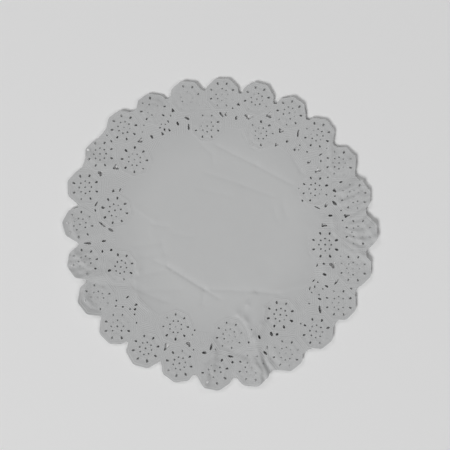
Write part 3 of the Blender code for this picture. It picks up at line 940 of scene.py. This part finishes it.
for face in sheet.faces:
    face.smooth = True
for edge in sheet.edges:
    edge.smooth = not edge.is_boundary
bmesh.ops.translate(sheet, verts=sheet.verts, vec=(0.0, 0.0, PAPER_THICKNESS))
sheet.to_mesh(doily.data)
sheet.free()
thickness = doily.modifiers.new("paper_thickness", "SOLIDIFY")
thickness.thickness = PAPER_THICKNESS
thickness.offset = -1.0
thickness.use_even_offset = False
print("sheet:", len(doily.data.vertices), "points")

# %% [markdown]
# ## White embossed paper
#
# Uncoated paper has no gloss to speak of, so its roughness is high. Its white is never one flat tone:
# the pulp is faintly cloudy. On top of that, shade is painted into the colour: the lace border is
# painted a shade greyer than the plain middle, for the shade that falls among its relief and holes,
# and within it the valleys of the embossing and the dents of the petal and dot marks are painted
# darker still than the ridges. The fine relief goes into a Bump node with its true depth in metres. It
# is drawn with plain maths on the rosette map: rings of pearls inside the rosette, fine lines round
# it, and a dent at the place of every petal and dot, which is all that is left where the tool went
# only half through.

# %% A few node helpers
paper = bpy.data.materials.new("embossed_white_paper")
paper.use_nodes = True
tree = paper.node_tree
shader = tree.nodes["Principled BSDF"]


def join(value, socket):
    if isinstance(value, bpy.types.NodeSocket):
        tree.links.new(value, socket)
    else:
        socket.default_value = value


def maths(operation, *values):
    made = tree.nodes.new("ShaderNodeMath")
    made.operation = operation
    for value, socket in zip(values, made.inputs):
        join(value, socket)
    return made.outputs[0]


def eased(value, low, high):
    """1 up to low and 0 from high on, or the other way round if low is over high."""
    made = tree.nodes.new("ShaderNodeMapRange")
    made.interpolation_type = "SMOOTHSTEP"
    join(value, made.inputs["Value"])
    made.inputs["From Min"].default_value = min(low, high)
    made.inputs["From Max"].default_value = max(low, high)
    made.inputs["To Min"].default_value = 1.0 if low < high else 0.0
    made.inputs["To Max"].default_value = 0.0 if low < high else 1.0
    return made.outputs["Result"]


def cloud(size, detail):
    made = tree.nodes.new("ShaderNodeTexNoise")
    made.inputs["Scale"].default_value = 1.0 / size
    made.inputs["Detail"].default_value = detail
    tree.links.new(place.outputs["Object"], made.inputs["Vector"])
    return made.outputs["Fac"]


place = tree.nodes.new("ShaderNodeTexCoord")
print("material:", paper.name)

# %% Draw the pearls and lines
PEARL_STEP = 0.0019
PEARLS_A_RING = 8.0
LINE_STEP = 0.0017
PEARLS_TO = 0.0140
LINES_FROM = 0.0150

uv = tree.nodes.new("ShaderNodeUVMap")
uv.uv_map = "rosette_map"
split = tree.nodes.new("ShaderNodeSeparateXYZ")
tree.links.new(uv.outputs["UV"], split.inputs["Vector"])
across = maths("MULTIPLY", maths("SUBTRACT", split.outputs["X"], 0.5), ROSETTE_SPAN)
outwards = maths("MULTIPLY", maths("SUBTRACT", split.outputs["Y"], 0.5), ROSETTE_SPAN)
wide = maths("ABSOLUTE", across)
tall = maths("ABSOLUTE", outwards)
slanted = maths("MULTIPLY", maths("ADD", wide, tall), math.sqrt(0.5))
sides = maths("MAXIMUM", maths("MAXIMUM", wide, tall), slanted)
turned = maths("ARCTAN2", outwards, across)

ring = maths("DIVIDE", sides, PEARL_STEP)
ring_number = maths("ROUND", ring)
ring_wave = maths("COSINE", maths("MULTIPLY", ring, 2.0 * math.pi))
pearl_wave = maths("COSINE", maths("MULTIPLY", turned, maths("MULTIPLY", ring_number, PEARLS_A_RING)))
pearls = maths("MULTIPLY_ADD", maths("MULTIPLY", ring_wave, pearl_wave), 0.5, 0.5)
inside = eased(sides, PEARLS_TO, LINES_FROM)
line_wave = maths("COSINE", maths("MULTIPLY", sides, 2.0 * math.pi / LINE_STEP))
lines = maths("MULTIPLY_ADD", line_wave, 0.5, 0.5)
relief = maths("ADD", maths("MULTIPLY", pearls, inside),
               maths("MULTIPLY", lines, maths("SUBTRACT", 1.0, inside)))
print("pearl rings every", 1000 * PEARL_STEP, "mm")

# %% Mark every petal and dot
MARK_PETAL = (PETAL_RING, 0.0011, 0.0017)
MARK_DOT = (DOT_RING, 0.0009, 0.0009)
MARK_DEPTH = 0.8
MARK_FLAT = 0.3
HALF_SIDE = math.radians(RIM_STEP / 2.0)

across_squared = maths("MULTIPLY", across, across)
outwards_squared = maths("MULTIPLY", outwards, outwards)
reach = maths("SQRT", maths("ADD", across_squared, outwards_squared))
off_side = maths("PINGPONG", turned, HALF_SIDE)
off_corner = maths("SUBTRACT", HALF_SIDE, off_side)


def mark(off_angle, ring, half_width, half_length):
    """1 where a punch stood and 0 beside it."""
    aside = maths("DIVIDE", maths("MULTIPLY", off_angle, reach), half_width)
    ahead = maths("DIVIDE", maths("SUBTRACT", reach, ring), half_length)
    off = maths("ADD", maths("MULTIPLY", aside, aside), maths("MULTIPLY", ahead, ahead))
    return eased(off, MARK_FLAT, 1.0)


marks = maths("MAXIMUM", mark(off_corner, *MARK_PETAL), mark(off_side, *MARK_DOT))

# %% Keep the middle plain
EMBOSSED_TO = 0.0163
EMBOSSED_FROM = 0.1015
EMBOSS_FADE = 0.0012

length = tree.nodes.new("ShaderNodeVectorMath")
length.operation = "LENGTH"
tree.links.new(place.outputs["Object"], length.inputs[0])
in_border = eased(length.outputs["Value"], EMBOSSED_FROM, EMBOSSED_FROM - EMBOSS_FADE)
in_rim = eased(sides, EMBOSSED_TO, EMBOSSED_TO + EMBOSS_FADE)
embossed = maths("MULTIPLY", relief, maths("MAXIMUM", in_border, in_rim))
embossed = maths("SUBTRACT", embossed, maths("MULTIPLY", marks, maths("MULTIPLY", in_rim, MARK_DEPTH)))

# %% Colour and relief
PAPER_WHITE = (0.60, 0.605, 0.605, 1.0)
# The darker grey that the paper is mixed towards, both by its own faint cloudy mottling and by the
# painted shade of the lace border.
PAPER_MOTTLE_AND_SHADE = (0.545, 0.55, 0.552, 1.0)
EMBOSS_DEPTH = 0.00016
FIBRE_DEPTH = 0.000012
# Painted shade: the lace border is painted greyer than the plain middle, fading in over these radii,
# and its embossed valleys and petal and dot marks are painted darker still.
PAINTED_SHADE_FROM = 0.066
PAINTED_SHADE_FADE = 0.050
PAINTED_BORDER_SHADE_SHARE = 0.5
PAINTED_VALLEY_SHADE_SHARE = 0.5
CLOUD_SIZE = 0.012
CLOUD_DETAIL = 3.0
CLOUD_SHARE = 0.3
FIBRE_SIZE = 0.0006
FIBRE_DETAIL = 4.0
PAPER_ROUGHNESS = 0.85
PAPER_SPECULAR = 0.25

clouds = cloud(CLOUD_SIZE, CLOUD_DETAIL)
fibres = cloud(FIBRE_SIZE, FIBRE_DETAIL)
# Painted shade over the border and in the valleys and marks of its embossing; the clouds are the
# paper's own mottling.
painted_shade_border = eased(length.outputs["Value"], PAINTED_SHADE_FROM + PAINTED_SHADE_FADE, PAINTED_SHADE_FROM)
# Painted shade: the valleys of the embossing and the dents of the petal and dot marks are painted
# darker than the ridges.
painted_valley_shade = maths("MULTIPLY", maths("SUBTRACT", 1.0, embossed), PAINTED_VALLEY_SHADE_SHARE)
border_shade = maths("MULTIPLY", painted_shade_border, maths("ADD", painted_valley_shade, PAINTED_BORDER_SHADE_SHARE))
mottling_and_painted_shade = maths("MULTIPLY_ADD", clouds, CLOUD_SHARE, border_shade)
tone = tree.nodes.new("ShaderNodeMix")
tone.data_type = "RGBA"
tone.inputs["A"].default_value = PAPER_WHITE
tone.inputs["B"].default_value = PAPER_MOTTLE_AND_SHADE
tree.links.new(mottling_and_painted_shade, tone.inputs["Factor"])
colour_sockets = [socket for socket in tone.outputs if socket.type == "RGBA"]
tree.links.new(colour_sockets[0], shader.inputs["Base Color"])
shader.inputs["Roughness"].default_value = PAPER_ROUGHNESS
shader.inputs["Specular IOR Level"].default_value = PAPER_SPECULAR

fibre_bump = tree.nodes.new("ShaderNodeBump")
fibre_bump.inputs["Distance"].default_value = FIBRE_DEPTH
tree.links.new(fibres, fibre_bump.inputs["Height"])
emboss_bump = tree.nodes.new("ShaderNodeBump")
emboss_bump.inputs["Distance"].default_value = EMBOSS_DEPTH
tree.links.new(embossed, emboss_bump.inputs["Height"])
tree.links.new(fibre_bump.outputs["Normal"], emboss_bump.inputs["Normal"])
tree.links.new(emboss_bump.outputs["Normal"], shader.inputs["Normal"])
doily.data.materials.clear()
doily.data.materials.append(paper)
print("nodes:", len(tree.nodes))

# %% [markdown]
# ## The table, the light and the camera
#
# The doily lies on a plain pale table. One large soft light stands to the front left, half-way up the
# sky, and brings out the creases and the embossing. Three weaker ones round the other sides keep the
# shades soft. They all stand far off, so that the whole sheet is lit alike. The camera looks down from
# almost straight above.

# %% Lay the table
FLOOR_SIDE = 3.0
FLOOR_DROP = 0.0002
TABLE_COLOUR = (0.90, 0.90, 0.90, 1.0)
TABLE_ROUGHNESS = 0.9

shape = bmesh.new()
bmesh.ops.create_grid(shape, x_segments=2, y_segments=2, size=FLOOR_SIDE / 2.0)
bmesh.ops.translate(shape, verts=shape.verts, vec=(0.0, 0.0, -FLOOR_DROP))
floor_mesh = bpy.data.meshes.new("pale_table")
shape.to_mesh(floor_mesh)
shape.free()
table = bpy.data.objects.new("pale_table", floor_mesh)
bpy.context.scene.collection.objects.link(table)
pale = bpy.data.materials.new("pale_table_top")
pale.use_nodes = True
table_shader = pale.node_tree.nodes["Principled BSDF"]
table_shader.inputs["Base Color"].default_value = TABLE_COLOUR
table_shader.inputs["Roughness"].default_value = TABLE_ROUGHNESS
floor_mesh.materials.append(pale)

# %% Light it
Lamp = namedtuple("Lamp", "name angle elevation watts")
LAMPS = (
    Lamp("key_softbox", 215.0, 50.0, 360.0),
    Lamp("left_softbox", 305.0, 54.0, 76.0),
    Lamp("right_softbox", 125.0, 54.0, 76.0),
    Lamp("back_softbox", 35.0, 54.0, 50.0),
)
LAMP_DISTANCE = 8.0
LAMP_SIZE = 2.6
SKY_COLOUR = (1.0, 1.0, 1.0, 1.0)
SKY_STRENGTH = 0.06

for lamp in LAMPS:
    data = bpy.data.lights.new(lamp.name, "AREA")
    data.shape = "DISK"
    data.size = LAMP_SIZE
    data.energy = lamp.watts
    light = bpy.data.objects.new(lamp.name, data)
    x, y = flat_place(lamp.angle, LAMP_DISTANCE * math.cos(math.radians(lamp.elevation)))
    light.location = (x, y, LAMP_DISTANCE * math.sin(math.radians(lamp.elevation)))
    light.rotation_euler = (-light.location).to_track_quat("-Z", "Y").to_euler()
    bpy.context.scene.collection.objects.link(light)
world = bpy.data.worlds.new("studio")
world.use_nodes = True
sky = world.node_tree.nodes["Background"]
sky.inputs["Color"].default_value = SKY_COLOUR
sky.inputs["Strength"].default_value = SKY_STRENGTH
bpy.context.scene.world = world
bpy.context.scene.view_settings.view_transform = "Standard"
print("lamps:", len(LAMPS))

# %% Set the camera
ELEVATION = math.radians(84.0)
CAMERA_DISTANCE = 0.60
AIM = Vector((0.0064, 0.0035, 0.0))
TURN = math.radians(1.47)
FOCAL_PIXELS = 611.6
IMAGE_PIXELS = 450.0
SENSOR = 36.0
NEAREST_SEEN = 0.01

eye = AIM + CAMERA_DISTANCE * Vector((0.0, -math.cos(ELEVATION), math.sin(ELEVATION)))
camera_data = bpy.data.cameras.new("camera")
camera_data.sensor_width = SENSOR
camera_data.lens = SENSOR * FOCAL_PIXELS / IMAGE_PIXELS
camera_data.clip_start = NEAREST_SEEN
camera = bpy.data.objects.new("camera", camera_data)
camera.rotation_euler = (math.pi / 2.0 - ELEVATION, 0.0, TURN)
camera.location = Matrix.Rotation(TURN, 4, "Z") @ eye
bpy.context.scene.collection.objects.link(camera)
bpy.context.scene.camera = camera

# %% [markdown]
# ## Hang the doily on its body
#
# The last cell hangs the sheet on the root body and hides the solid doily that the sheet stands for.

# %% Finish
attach(doily, "root")
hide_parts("doily")
